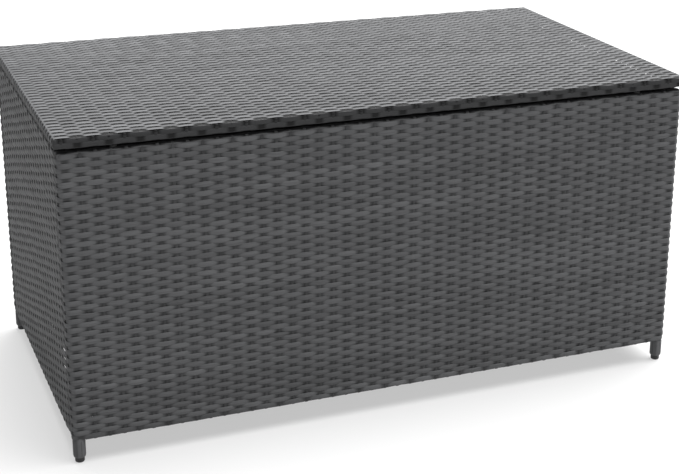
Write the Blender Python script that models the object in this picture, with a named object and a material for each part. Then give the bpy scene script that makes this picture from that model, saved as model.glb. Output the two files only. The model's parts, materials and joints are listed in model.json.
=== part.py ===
"""Woven deck storage box: tube-framed panels with woven skins, a lid on two hinges with two gas
struts, and a hung liner. Metres, +Z up, front towards -Y, origin on the ground under the middle."""

import math

import bmesh
import bpy
from mathutils import Matrix, Vector

# Overall size
WIDTH = 1.200               # across the lid
DEPTH = 0.650               # lid's front edge to the back of the hinge knuckles
HEIGHT = 0.610              # ground to the top of the lid at its back edge
LID_FRONT_HEIGHT = 0.586    # ground to the top of the lid at its front edge
LID_OVERHANG = 0.004        # lid past the body at the front and at each side
LID_THICKNESS = 0.020
LID_GAP = 0.005             # between the lid and the body's top edge
PANEL_BOTTOM = 0.042        # ground to the lower edge of the woven panels

# Steel tubes and the strips wrapped round them
TUBE = 0.017                # posts are round, rails and uprights are square
UPRIGHT = 0.012             # width of the uprights between the posts
WRAP = 0.0025               # woven strips over a tube
SKIN = 0.003                # woven sheet between the tubes
FIT = 0.0003                # gap between pieces that touch
SEAM = 0.0003               # side panels to front and back panels
PANEL = TUBE + 2 * WRAP     # a panel's whole thickness
LID_TUBE = LID_THICKNESS - 2 * WRAP
CORNER_RADIUS = 0.009
CORNER_STEPS = 4

# Feet
GLIDE_HEIGHT = 0.010
GLIDE_RADIUS = 0.0085
SOCKET_RADIUS = 0.0063
SOCKET_DEPTH = 0.026
GLIDE_SOLE_RADIUS = 0.0055
GLIDE_PLUG_PLAY = 0.001     # plug's end to the bottom of its socket
GLIDE_PLUG_TAPER = 0.003

# Hinges
KNUCKLE_RADIUS = 0.004
HINGE_PIN_RADIUS = 0.0015
HINGE_BORE_RADIUS = 0.0018
HINGE_SETBACK = 0.0009      # axis behind the back faces of lid and body
HINGE_X = 0.400
LEAF_LENGTH = 0.060
LEAF_NEAR = 0.0031          # leaf's inner face, measured forward from the axis
LEAF_FAR = 0.0019           # leaf's outer face
CENTRE_KNUCKLE = 0.021
KNUCKLE_PLAY = 0.0005
LEAF_CLEAR = 0.0048         # flat part of a leaf keeps this far from the axis
LEAF_REACH = 0.0205
SCREW_HEIGHT = 0.0128       # screws' distance from the axis, along the leaf
SCREW_SPREAD = 0.020
SCREW_HOLE_RADIUS = 0.0019
SCREW_HOLE_REACH = 0.006    # each way from the tube's face
SCREW_RADIUS = 0.0015
SCREW_LENGTH = 0.0045
SCREW_HEAD_RADIUS = 0.003
SCREW_HEAD_RIM = 0.0009
SCREW_HEAD_HEIGHT = 0.0014
RECESS_MARGIN = 0.0015      # weave to the ends of a leaf
RECESS_DROP = 0.001         # weave to the long edge of a leaf
TONGUE_OVERLAP = 0.001
PIN_HEAD = 0.001
PIN_HEAD_RADIUS = 0.0025

# Derived places
SIDE_X = WIDTH / 2 - LID_OVERHANG
FRONT_Y = -DEPTH / 2 + LID_OVERHANG
HINGE_Y = DEPTH / 2 - KNUCKLE_RADIUS
BACK_Y = HINGE_Y - HINGE_SETBACK
SLOPE = math.atan((HEIGHT - LID_FRONT_HEIGHT) / (BACK_Y + DEPTH / 2))
LID_TOP = LID_GAP / 2 + LID_THICKNESS
HINGE_Z = HEIGHT - LID_TOP * math.cos(SLOPE) + HINGE_SETBACK * math.sin(SLOPE)
LID_LENGTH = (HINGE_Y + DEPTH / 2 - LID_TOP * math.sin(SLOPE)) / math.cos(SLOPE) - HINGE_SETBACK
POST_X = SIDE_X - WRAP - TUBE / 2
INNER_X = SIDE_X - PANEL
INNER_FRONT_Y = FRONT_Y + PANEL
INNER_BACK_Y = BACK_Y - PANEL
RAIL_Z = PANEL_BOTTOM + WRAP + TUBE / 2

# Base
BASE_TUBE = 0.015
SLAT_WIDTH = 0.025
SLAT_THICKNESS = 0.008
SLAT_COUNT = 9
BASE_CLEARANCE = 0.0005
BASE_LOW = RAIL_Z - BASE_TUBE / 2
BASE_HIGH = RAIL_Z + BASE_TUBE / 2

# Bolts (M6 with a hexagon socket)
BOLT_RADIUS = 0.003
BOLT_HOLE_RADIUS = 0.0034
BOLT_HEAD_RADIUS = 0.005
BOLT_HEAD = 0.005
BOLT_BITE = 0.009           # into the post or rail that holds it
SOCKET_KEY = 0.0026
SOCKET_KEY_FLOOR = 0.002    # thickness of the head under its key socket
CORNER_BOLT_HEIGHTS = {"lower": 0.140, "upper": 0.460}
BASE_BOLT_X = 0.390

# Gas struts: pivots are measured from the hinge axis, forward and down
STRUT_X = 0.561
LID_PIVOT = (0.200, 0.022)
BODY_PIVOT = (0.045, 0.200)
EYE_RADIUS = 0.007
EYE_THICKNESS = 0.008
EYE_HOLE = 0.0034
STRUT_PIN_RADIUS = 0.003
NECK_RADIUS = 0.004
NECK_END = 0.014
CYLINDER_RADIUS = 0.0075
CYLINDER_BORE = 0.0063
CYLINDER_MOUTH = 0.0042
CYLINDER_END = 0.206
CYLINDER_CHAMFER = 0.0015
CYLINDER_HEAD = 0.004       # wall at the rod's end
CYLINDER_BASE = 0.003       # wall at the closed end
ROD_RADIUS = 0.003
PISTON_RADIUS = 0.005
PISTON_LENGTH = 0.010
ROD_END = 0.206
BRACKET_PLATE = 0.0025
BRACKET_TIP = (0.008, 0.006)  # plate past its pivot, along Y and up or down
BRACKET_FLANGE_INNER = 0.014  # flange past the strut, towards the middle
LID_BRACKET_HALF = 0.016
BODY_BRACKET_NEAR = 0.006     # where the plate has its full height, behind the pivot
BODY_BRACKET_HALF = 0.020
BODY_BRACKET_CLEAR = 0.002    # to the back panel
BRACKET_HOLE_RADIUS = 0.0028
HOLE_PAST = 0.02
RIVET_RADIUS = 0.0025
PIN_COLLAR_RADIUS = 0.005
PIN_CAP = 0.003
PIN_CAP_RADIUS = 0.004
PIN_CAP_CHAMFER = 0.001
EYE_PLAY = 0.0005

# Liner
LINER_WALL = 0.0015
LINER_SIDE_X = 0.548
LINER_TOP = 0.548
LINER_CLEARANCE = 0.005

# Lid stiffeners, measured forward from the hinge axis
STIFFENERS = (0.200, 0.425)

BUMPER_X = 0.500
BUMPER_RADIUS = 0.007
BUMPER_HEIGHT = 0.0043

COLOURS = {
    "weave": ((0.098, 0.099, 0.102), 0.60, 0.0),
    "frame_steel": ((0.030, 0.031, 0.033), 0.50, 0.3),
    "glide_plastic": ((0.012, 0.012, 0.013), 0.55, 0.0),
    "zinc": ((0.55, 0.56, 0.57), 0.35, 1.0),
    "strut_black": ((0.018, 0.018, 0.020), 0.40, 0.3),
    "strut_rod": ((0.72, 0.73, 0.75), 0.12, 1.0),
    "liner": ((0.060, 0.062, 0.066), 0.80, 0.0),
    "rubber": ((0.015, 0.015, 0.015), 0.85, 0.0),
}


def clear_scene():
    for obj in list(bpy.data.objects):
        bpy.data.objects.remove(obj)


def make_material(name):
    colour, roughness, metallic = COLOURS[name]
    material = bpy.data.materials.new(name)
    material.use_nodes = True
    shader = material.node_tree.nodes["Principled BSDF"]
    shader.inputs["Base Color"].default_value = (*colour, 1.0)
    shader.inputs["Roughness"].default_value = roughness
    shader.inputs["Metallic"].default_value = metallic
    return material


def add_object(name, mesh_data, parent=None):
    mesh = bpy.data.meshes.new(name)
    bmesh.ops.recalc_face_normals(mesh_data, faces=mesh_data.faces)
    mesh_data.to_mesh(mesh)
    mesh_data.free()
    obj = bpy.data.objects.new(name, mesh)
    bpy.context.scene.collection.objects.link(obj)
    obj.parent = parent
    return obj


# Shapes: each is a function of one number, how far it is grown on every side


def box(low, high):
    def build(grow=0.0):
        shape = bmesh.new()
        size = [b - a + 2 * grow for a, b in zip(low, high)]
        middle = [(a + b) / 2 for a, b in zip(low, high)]
        bmesh.ops.create_cube(shape, size=1.0)
        bmesh.ops.transform(
            shape, matrix=Matrix.LocRotScale(Vector(middle), None, Vector(size)), verts=shape.verts
        )
        return shape

    return build


def cylinder(start, end, radius, segments=16):
    """A round bar between two points."""
    start, end = Vector(start), Vector(end)

    def build(grow=0.0):
        shape = bmesh.new()
        along = (end - start).normalized()
        bmesh.ops.create_cone(
            shape,
            cap_ends=True,
            segments=segments,
            radius1=radius + grow,
            radius2=radius + grow,
            depth=(end - start).length + 2 * grow,
        )
        turn = Vector((0, 0, 1)).rotation_difference(along)
        bmesh.ops.transform(
            shape, matrix=Matrix.LocRotScale((start + end) / 2, turn, None), verts=shape.verts
        )
        return shape

    return build


def grown_outline(outline, grow):
    """A convex outline with each edge moved outward."""
    points = [Vector(point) for point in outline]
    area = sum(a.cross(b) for a, b in zip(points, points[1:] + points[:1]))
    outward = 1 if area > 0 else -1
    moved = []
    for before, point, after in zip(points[-1:] + points[:-1], points, points[1:] + points[:1]):
        first, second = (point - before).normalized(), (after - point).normalized()
        normals = [outward * Vector((edge.y, -edge.x)) for edge in (first, second)]
        moved.append(point + grow * sum(normals, Vector((0, 0))) / (1 + normals[0].dot(normals[1])))
    return moved


def extruded(outline, axis, low, high):
    """A convex outline swept along X or Z. Its points are (y, z) for X and (x, y) for Z."""

    def build(grow=0.0):
        shape = bmesh.new()
        corners = []
        for a, b in grown_outline(outline, grow):
            point = (low - grow, a, b) if axis == "X" else (a, b, low - grow)
            corners.append(shape.verts.new(point))
        face = shape.faces.new(corners)
        made = bmesh.ops.extrude_face_region(shape, geom=[face])
        moved = [item for item in made["geom"] if isinstance(item, bmesh.types.BMVert)]
        travel = high - low + 2 * grow
        offset = (travel, 0, 0) if axis == "X" else (0, 0, travel)
        bmesh.ops.translate(shape, verts=moved, vec=offset)
        return shape

    return build


def turned(profile, segments=16, hexagonal=(), closed=False):
    """A profile of (distance along Z, radius) turned about Z; rings in hexagonal are six-sided."""
    shape = bmesh.new()
    rings = []
    for number, (height, radius) in enumerate(profile):
        if radius == 0:
            rings.append([shape.verts.new((0, 0, height))])
            continue
        ring = []
        for step in range(segments):
            angle = 2 * math.pi * step / segments
            reach = radius
            if number in hexagonal:
                off_flat = (angle % (math.pi / 3)) - math.pi / 6
                reach = radius * math.cos(math.pi / 6) / math.cos(off_flat)
            ring.append(shape.verts.new((reach * math.cos(angle), reach * math.sin(angle), height)))
        rings.append(ring)
    pairs = list(zip(rings, rings[1:]))
    if closed:
        pairs.append((rings[-1], rings[0]))
    for first, second in pairs:
        for step in range(segments):
            after = (step + 1) % segments
            corners = [first[step % len(first)], first[after % len(first)]]
            corners += [second[after % len(second)], second[step % len(second)]]
            shape.faces.new(dict.fromkeys(corners))
    return shape


def along(shape, place, direction):
    """Moves a turned shape so that its Z runs along direction from place."""
    turn = Vector((0, 0, 1)).rotation_difference(Vector(direction))
    bmesh.ops.transform(shape, matrix=Matrix.LocRotScale(Vector(place), turn, None), verts=shape.verts)
    return shape


def combine(obj, operation, shapes, grow=0.0):
    """Adds one Boolean for each shape; the shapes become wire helpers beside the object."""
    for number, shape in enumerate(shapes):
        helper = add_object(f"{obj.name}_{operation.lower()}_{number}", shape(grow), obj.parent)
        helper.hide_render = True
        helper.display_type = "WIRE"
        modifier = obj.modifiers.new(helper.name, "BOOLEAN")
        modifier.operation = operation
        modifier.object = helper


def piece(name, shapes, material, cuts=(), parent=None, smooth=False):
    """One solid: the first shape with the others joined to it and the cuts taken away."""
    obj = add_object(name, shapes[0](), parent)
    combine(obj, "UNION", shapes[1:])
    combine(obj, "DIFFERENCE", cuts)
    finish(obj, material, smooth)
    return obj


def finish(obj, material, smooth):
    obj.data.materials.append(material)
    if smooth:
        obj.data.shade_smooth()
        obj.data.set_sharp_from_angle(angle=math.radians(35))


def woven(name, envelope, tubes, material, cuts=(), parent=None):
    """A woven skin: its outer shape less the tubes inside it, grown by the fitting gap."""
    obj = add_object(name, envelope[0](), parent)
    combine(obj, "UNION", envelope[1:])
    combine(obj, "DIFFERENCE", tubes, grow=FIT)
    combine(obj, "DIFFERENCE", cuts)
    finish(obj, material, False)
    return obj


def turned_piece(name, shape, material, parent=None):
    obj = add_object(name, shape, parent)
    finish(obj, material, True)
    return obj


def body_top(y):
    """Height of the body's top edge, which runs parallel to the lid."""
    return HINGE_Z - (HINGE_Y - y) * math.tan(SLOPE) - LID_GAP / 2 / math.cos(SLOPE)


# Panels


def bolt_hole(start, end):
    return cylinder(start, end, BOLT_HOLE_RADIUS, segments=8)


def bays_between(edges, beside):
    """Clear stretches between members: edges are the outer limits, beside the members' half gaps."""
    limits = [edges[0]]
    for middle, half in beside:
        limits += [middle - half, middle + half]
    limits.append(edges[1])
    return list(zip(limits[::2], limits[1::2]))


def rounded_outline(outer_y, inner_y, into_box):
    """A long panel seen from above: square inside, rounded at its two outer corners."""
    outline = [(SIDE_X, inner_y), (-SIDE_X, inner_y)]
    for side, first in ((-1, 0), (1, 1)):
        for step in range(CORNER_STEPS + 1):
            angle = math.pi / 2 * (step / CORNER_STEPS + first)
            x = side * (SIDE_X - CORNER_RADIUS) - CORNER_RADIUS * math.cos(angle)
            y = outer_y + into_box * CORNER_RADIUS * (1 - math.sin(angle))
            outline.append((x, y))
    return outline


def long_panel(name, outer_y, top, materials, frame_cuts=(), skin_cuts=()):
    """The front or back panel: two posts that run down as legs, two rails and two uprights."""
    into_box = 1 if outer_y < 0 else -1
    inner_y = outer_y + into_box * PANEL
    middle_y = outer_y + into_box * PANEL / 2
    past_y = inner_y + into_box * PANEL
    bite_y = inner_y - into_box * (WRAP + BOLT_BITE)
    tube_top = top - WRAP
    upright_x = POST_X / 3

    def member(x, width, low, high):
        return box(
            (x - width / 2, middle_y - TUBE / 2, low), (x + width / 2, middle_y + TUBE / 2, high)
        )

    def at_posts(radius, low, high):
        return [cylinder((x, middle_y, low), (x, middle_y, high), radius) for x in (-POST_X, POST_X)]

    rails = [member(0, 2 * POST_X, base, base + TUBE) for base in (tube_top - TUBE, RAIL_Z - TUBE / 2)]
    uprights = [member(x, UPRIGHT, RAIL_Z, tube_top - TUBE / 2) for x in (-upright_x, upright_x)]
    posts = at_posts(TUBE / 2, GLIDE_HEIGHT, tube_top)
    tubes = [*rails, *uprights, *posts]

    bolt_places = [(x, z) for x in (-POST_X, POST_X) for z in CORNER_BOLT_HEIGHTS.values()]
    bolt_places += [(x, RAIL_Z) for x in (-BASE_BOLT_X, BASE_BOLT_X)]
    holes = [bolt_hole((x, past_y, z), (x, bite_y, z)) for x, z in bolt_places]
    sockets = at_posts(SOCKET_RADIUS, 0, GLIDE_HEIGHT + SOCKET_DEPTH)
    piece(f"{name}_panel_frame", tubes, materials["frame_steel"], [*holes, *sockets, *frame_cuts])

    legs = at_posts(TUBE / 2 + WRAP, GLIDE_HEIGHT + FIT, PANEL_BOTTOM + TUBE)
    leg_openings = at_posts(TUBE / 2 + FIT, 0, PANEL_BOTTOM)
    envelope = [extruded(rounded_outline(outer_y, inner_y, into_box), "Z", PANEL_BOTTOM, top), *legs]
    edge = POST_X - TUBE / 2 - WRAP
    half = UPRIGHT / 2 + WRAP
    depth = sorted((outer_y + into_box * SKIN, past_y))
    bays = [
        box((left, depth[0], PANEL_BOTTOM + PANEL), (right, depth[1], top - PANEL))
        for left, right in bays_between((-edge, edge), ((-upright_x, half), (upright_x, half)))
    ]
    woven(
        f"{name}_weave", envelope, tubes, materials["weave"], [*bays, *holes, *leg_openings, *skin_cuts]
    )


def side_panel(name, side, materials):
    """A side panel between the long ones: two end uprights, a middle one, a level and a sloping rail."""
    near, far = INNER_FRONT_Y + SEAM, INNER_BACK_Y - SEAM
    xs = sorted((side * SIDE_X, side * INNER_X))
    tube_xs = sorted((side * (SIDE_X - WRAP), side * (INNER_X + WRAP)))
    middle_y = (near + far) / 2

    def below_top(inset_y, low, drop):
        """The outline between a level line and one parallel to the sloping top."""
        a, b = near + inset_y, far - inset_y
        return [(a, low), (b, low), (b, body_top(b) - drop), (a, body_top(a) - drop)]

    def upright(y, width):
        top = body_top(y - width / 2) - WRAP - TUBE / 2
        return box((tube_xs[0], y - width / 2, RAIL_Z), (tube_xs[1], y + width / 2, top))

    a, b = near + WRAP, far - WRAP
    sloping = [(y, body_top(y) - drop) for y, drop in ((a, PANEL - WRAP), (b, PANEL - WRAP))]
    sloping += [(b, body_top(b) - WRAP), (a, body_top(a) - WRAP)]
    tubes = [
        extruded(sloping, "X", *tube_xs),
        box((tube_xs[0], a, RAIL_Z - TUBE / 2), (tube_xs[1], b, RAIL_Z + TUBE / 2)),
        upright(a + TUBE / 2, TUBE),
        upright(middle_y, UPRIGHT),
        upright(b - TUBE / 2, TUBE),
    ]
    holes = []
    for end, inward in ((near, 1), (far, -1)):
        for z in CORNER_BOLT_HEIGHTS.values():
            start, stop = end - inward * PANEL, end + inward * 1.2 * PANEL
            holes.append(bolt_hole((side * POST_X, start, z), (side * POST_X, stop, z)))
    piece(f"{name}_panel_frame", tubes, materials["frame_steel"], holes)

    deep = sorted((side * (SIDE_X - SKIN), side * (INNER_X - PANEL)))
    half = UPRIGHT / 2 + WRAP
    bays = []
    for low_y, high_y in bays_between((near + PANEL, far - PANEL), ((middle_y, half),)):
        outline = [(low_y, PANEL_BOTTOM + PANEL), (high_y, PANEL_BOTTOM + PANEL)]
        outline += [(high_y, body_top(high_y) - PANEL), (low_y, body_top(low_y) - PANEL)]
        bays.append(extruded(outline, "X", *deep))
    envelope = [extruded(below_top(0, PANEL_BOTTOM, 0), "X", *xs)]
    woven(f"{name}_weave", envelope, tubes, materials["weave"], [*bays, *holes])


def corner_bolts(materials):
    """Each bolt runs from inside a side panel's end upright into the long panel's post."""
    for row, inner_y, outward in (("front", INNER_FRONT_Y, -1), ("back", INNER_BACK_Y, 1)):
        for column, side in (("left", -1), ("right", 1)):
            for level, height in CORNER_BOLT_HEIGHTS.items():
                seat = Vector((side * POST_X, inner_y - outward * (SEAM + PANEL + FIT), height))
                length = SEAM + PANEL + FIT + WRAP + BOLT_BITE - 2 * FIT
                add_bolt(f"corner_bolt_{row}_{column}_{level}", seat, (0, outward, 0), length, materials)


def base_bolts(materials):
    for row, inner_y, outward in (("front", INNER_FRONT_Y, -1), ("back", INNER_BACK_Y, 1)):
        for column, side in (("left", -1), ("right", 1)):
            depth = BASE_CLEARANCE + BASE_TUBE + FIT
            seat = Vector((side * BASE_BOLT_X, inner_y - outward * depth, RAIL_Z))
            length = depth + WRAP + BOLT_BITE - 2 * FIT
            add_bolt(f"base_bolt_{row}_{column}", seat, (0, outward, 0), length, materials)


def add_bolt(name, seat, direction, length, materials):
    """A socket-head bolt whose head rests at seat and whose shank points along direction."""
    profile = [
        (-SOCKET_KEY_FLOOR, 0),
        (-SOCKET_KEY_FLOOR, SOCKET_KEY),
        (-BOLT_HEAD, SOCKET_KEY),
        (-BOLT_HEAD, BOLT_HEAD_RADIUS),
        (0, BOLT_HEAD_RADIUS),
        (0, BOLT_RADIUS),
        (length, BOLT_RADIUS),
        (length, 0),
    ]
    shape = turned(profile, segments=12, hexagonal=(1, 2))
    turned_piece(name, along(shape, seat, direction), materials["zinc"])


def base_frame(materials):
    """A rectangle of tube with slats, bolted between the front and back panels."""
    x = INNER_X - BASE_CLEARANCE
    near, far = INNER_FRONT_Y + BASE_CLEARANCE, INNER_BACK_Y - BASE_CLEARANCE
    members = [
        box((-x, y, BASE_LOW), (x, y + BASE_TUBE, BASE_HIGH)) for y in (near, far - BASE_TUBE)
    ]
    members += [
        box((edge, near, BASE_LOW), (edge + BASE_TUBE, far, BASE_HIGH)) for edge in (-x, x - BASE_TUBE)
    ]
    pitch = (2 * x - BASE_TUBE) / (SLAT_COUNT + 1)
    for number in range(SLAT_COUNT):
        middle = pitch * (number - (SLAT_COUNT - 1) / 2)
        low = (middle - SLAT_WIDTH / 2, near + BASE_TUBE / 2, BASE_HIGH - SLAT_THICKNESS)
        high = (middle + SLAT_WIDTH / 2, far - BASE_TUBE / 2, BASE_HIGH)
        members.append(box(low, high))
    holes = []
    for bolt_x in (-BASE_BOLT_X, BASE_BOLT_X):
        for y in (near, far - BASE_TUBE):
            start, stop = y - BASE_TUBE, y + 2 * BASE_TUBE
            holes.append(bolt_hole((bolt_x, start, RAIL_Z), (bolt_x, stop, RAIL_Z)))
    piece("base_frame", members, materials["frame_steel"], holes)


def foot_glides(materials):
    for row, y in (("front", FRONT_Y + PANEL / 2), ("back", BACK_Y - PANEL / 2)):
        for column, side in (("left", -1), ("right", 1)):
            shoulder = GLIDE_HEIGHT - FIT
            plug = SOCKET_RADIUS - FIT
            tip = GLIDE_HEIGHT + SOCKET_DEPTH - GLIDE_PLUG_PLAY
            reach = GLIDE_RADIUS - GLIDE_SOLE_RADIUS
            profile = [(0, 0), (0, GLIDE_SOLE_RADIUS)]
            for step in (1, 2, 3):
                angle = math.pi / 2 * step / 3
                height = reach * (1 - math.cos(angle))
                profile.append((height, GLIDE_SOLE_RADIUS + reach * math.sin(angle)))
            profile += [(shoulder, GLIDE_RADIUS), (shoulder, plug), (tip - GLIDE_PLUG_TAPER, plug), (tip, 0)]
            shape = along(turned(profile, segments=16), (side * POST_X, y, 0), (0, 0, 1))
            turned_piece(f"foot_glide_{row}_{column}", shape, materials["glide_plastic"])


def liner_bag(materials):
    """The hung liner as a plain open bag."""
    x = LINER_SIDE_X
    near, far = INNER_FRONT_Y + LINER_CLEARANCE, INNER_BACK_Y - LINER_CLEARANCE
    low = BASE_HIGH + 2 * FIT
    outer = box((-x, near, low), (x, far, LINER_TOP))
    inner = box(
        (-x + LINER_WALL, near + LINER_WALL, low + LINER_WALL),
        (x - LINER_WALL, far - LINER_WALL, LINER_TOP + LINER_WALL),
    )
    piece("liner_bag", [outer], materials["liner"], [inner])


def lid_bumpers(materials):
    for column, side in (("left", -1), ("right", 1)):
        place = (side * BUMPER_X, FRONT_Y + PANEL / 2, body_top(FRONT_Y) + FIT)
        rounding = 0.0012
        profile = [(0, 0), (0, BUMPER_RADIUS), (BUMPER_HEIGHT - rounding, BUMPER_RADIUS)]
        profile += [(BUMPER_HEIGHT, BUMPER_RADIUS - rounding), (BUMPER_HEIGHT, 0)]
        shape = along(turned(profile, segments=16), place, (0, 0, 1))
        turned_piece(f"lid_bumper_{column}", shape, materials["rubber"])


# Lid, in its own level frame: its parent empty lies on the hinge axis and carries the slope


def lid(axis, materials):
    x_tube = WIDTH / 2 - WRAP
    back = -HINGE_SETBACK
    front = back - LID_LENGTH
    low, high = LID_GAP / 2, LID_TOP
    tube_low, tube_high = low + WRAP, high - WRAP
    y_back, y_front = back - WRAP, front + WRAP

    def across(y):
        return box((-x_tube, y - LID_TUBE / 2, tube_low), (x_tube, y + LID_TUBE / 2, tube_high))

    stiffeners = [across(-forward) for forward in STIFFENERS]
    sides = [
        box((edge, y_front, tube_low), (edge + LID_TUBE, y_back, tube_high))
        for edge in (-x_tube, x_tube - LID_TUBE)
    ]
    tubes = [across(y_back - LID_TUBE / 2), across(y_front + LID_TUBE / 2), *sides, *stiffeners]
    screw_holes = hinge_screw_holes(y_back, SCREW_HEIGHT)
    piece("lid_frame", tubes, materials["frame_steel"], screw_holes, parent=axis)

    half = LID_TUBE / 2 + WRAP
    stops = sorted((-forward, half) for forward in STIFFENERS)
    edge_x = x_tube - LID_TUBE - WRAP
    limits = (y_front + LID_TUBE + WRAP, y_back - LID_TUBE - WRAP)
    bays = [
        box((-edge_x, near, low - WRAP), (edge_x, far, high - SKIN))
        for near, far in bays_between(limits, stops)
    ]
    recesses = hinge_recesses((y_back - FIT, back + WRAP), (low - WRAP, LEAF_REACH))
    envelope = [box((-WIDTH / 2, front, low), (WIDTH / 2, back, high))]
    woven("lid_weave", envelope, tubes, materials["weave"], [*bays, *recesses], parent=axis)


# Hinges


def screw_hole(x, y, z, reach):
    return cylinder((x, y - reach, z), (x, y + reach, z), SCREW_HOLE_RADIUS, segments=8)


def hinge_screw_holes(y, z):
    """Holes in a tube whose back face is at y, for the screws of both hinges."""
    places = [side * HINGE_X + off for side in (-1, 1) for off in (-SCREW_SPREAD, SCREW_SPREAD)]
    return [screw_hole(x, y, z, SCREW_HOLE_REACH) for x in places]


def hinge_recesses(ys, zs):
    """Cut-outs in the weave where the leaves lie on the steel."""
    half = LEAF_LENGTH / 2 + RECESS_MARGIN
    return [
        box((side * HINGE_X - half, ys[0], zs[0]), (side * HINGE_X + half, ys[1], zs[1]))
        for side in (-1, 1)
    ]


def knuckle(x_low, x_high):
    profile = [
        (x_low, HINGE_BORE_RADIUS),
        (x_low, KNUCKLE_RADIUS),
        (x_high, KNUCKLE_RADIUS),
        (x_high, HINGE_BORE_RADIUS),
    ]

    def build(grow=0.0):
        shape = turned(profile, segments=12, closed=True)
        turn = Matrix.Rotation(math.pi / 2, 4, "Y")
        bmesh.ops.transform(shape, matrix=turn, verts=shape.verts)
        return shape

    return build


def leaf(name, axis, middle_x, up, knuckles, materials):
    """A hinge leaf: a flat plate, with a tongue from it to each of its knuckles."""
    half = LEAF_LENGTH / 2

    def strip(x_low, x_high, near, far):
        z_low, z_high = sorted((up * near, up * far))
        return box((x_low, -LEAF_NEAR, z_low), (x_high, -LEAF_FAR, z_high))

    shapes = [strip(middle_x - half, middle_x + half, LEAF_CLEAR, LEAF_REACH)]
    for start, stop in knuckles:
        shapes.append(knuckle(middle_x + start, middle_x + stop))
        shapes.append(strip(middle_x + start, middle_x + stop, 0, LEAF_CLEAR + TONGUE_OVERLAP))
    holes = [
        screw_hole(middle_x + off, -LEAF_NEAR, up * SCREW_HEIGHT, LEAF_NEAR)
        for off in (-SCREW_SPREAD, SCREW_SPREAD)
    ]
    piece(name, shapes, materials["zinc"], holes, parent=axis, smooth=True)


def leaf_screws(name, axis, middle_x, up, materials):
    profile = [
        (-SCREW_LENGTH, 0),
        (-SCREW_LENGTH, SCREW_RADIUS),
        (0, SCREW_RADIUS),
        (0, SCREW_HEAD_RADIUS),
        (SCREW_HEAD_RIM, SCREW_HEAD_RADIUS - FIT),
        (SCREW_HEAD_HEIGHT, 0),
    ]
    for number, off in enumerate((-SCREW_SPREAD, SCREW_SPREAD), start=1):
        shape = turned(profile, segments=8)
        place = (middle_x + off, -LEAF_FAR + FIT, up * SCREW_HEIGHT)
        turned_piece(f"{name}_{number}", along(shape, place, (0, 1, 0)), materials["zinc"], axis)


def hinges(fixed_axis, lid_axis, materials):
    half = LEAF_LENGTH / 2
    centre = CENTRE_KNUCKLE / 2
    outer = ((-half, -centre - KNUCKLE_PLAY), (centre + KNUCKLE_PLAY, half))
    for column, side in (("left", -1), ("right", 1)):
        x = side * HINGE_X
        name = f"hinge_{column}"
        leaf(f"{name}_body_leaf", fixed_axis, x, -1, outer, materials)
        leaf(f"{name}_lid_leaf", lid_axis, x, 1, ((-centre, centre),), materials)
        leaf_screws(f"{name}_body_screw", fixed_axis, x, -1, materials)
        leaf_screws(f"{name}_lid_screw", lid_axis, x, 1, materials)
        reach = half + KNUCKLE_PLAY
        profile = [(-reach - PIN_HEAD, 0), (-reach - PIN_HEAD, PIN_HEAD_RADIUS), (-reach, PIN_HEAD_RADIUS)]
        profile += [(-reach, HINGE_PIN_RADIUS), (half, HINGE_PIN_RADIUS), (half, 0)]
        shape = along(turned(profile, segments=12), (x, 0, 0), (1, 0, 0))
        turned_piece(f"{name}_pin", shape, materials["zinc"], fixed_axis)


# Gas struts


def ring_and_neck(name, pivot, materials):
    """An end fitting: an eye round the pivot and a neck towards the strut, which lies along Z."""
    profile = [
        (-EYE_THICKNESS / 2, EYE_HOLE),
        (-EYE_THICKNESS / 2, EYE_RADIUS),
        (EYE_THICKNESS / 2, EYE_RADIUS),
        (EYE_THICKNESS / 2, EYE_HOLE),
    ]

    def eye(grow=0.0):
        shape = turned(profile, segments=16, closed=True)
        bmesh.ops.transform(shape, matrix=Matrix.Rotation(math.pi / 2, 4, "Y"), verts=shape.verts)
        return shape

    neck = cylinder((0, 0, (EYE_HOLE + EYE_RADIUS) / 2), (0, 0, NECK_END), NECK_RADIUS, 12)
    piece(name, [eye, neck], materials["strut_black"], parent=pivot, smooth=True)


def gas_cylinder(name, pivot, materials):
    start = NECK_END + FIT
    profile = [
        (start, 0),
        (start, CYLINDER_RADIUS - CYLINDER_CHAMFER),
        (start + CYLINDER_CHAMFER, CYLINDER_RADIUS),
        (CYLINDER_END - CYLINDER_CHAMFER, CYLINDER_RADIUS),
        (CYLINDER_END, CYLINDER_RADIUS - CYLINDER_CHAMFER),
        (CYLINDER_END, CYLINDER_MOUTH),
        (CYLINDER_END - CYLINDER_HEAD, CYLINDER_MOUTH),
        (CYLINDER_END - CYLINDER_HEAD, CYLINDER_BORE),
        (start + CYLINDER_BASE, CYLINDER_BORE),
        (start + CYLINDER_BASE, 0),
    ]
    turned_piece(name, turned(profile, segments=16), materials["strut_black"], pivot)


def gas_rod(name, pivot, materials):
    profile = [
        (NECK_END + FIT, 0),
        (NECK_END + FIT, ROD_RADIUS),
        (ROD_END - PISTON_LENGTH, ROD_RADIUS),
        (ROD_END - PISTON_LENGTH, PISTON_RADIUS),
        (ROD_END, PISTON_RADIUS),
        (ROD_END, 0),
    ]
    turned_piece(name, turned(profile, segments=12), materials["strut_rod"], pivot)


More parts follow.
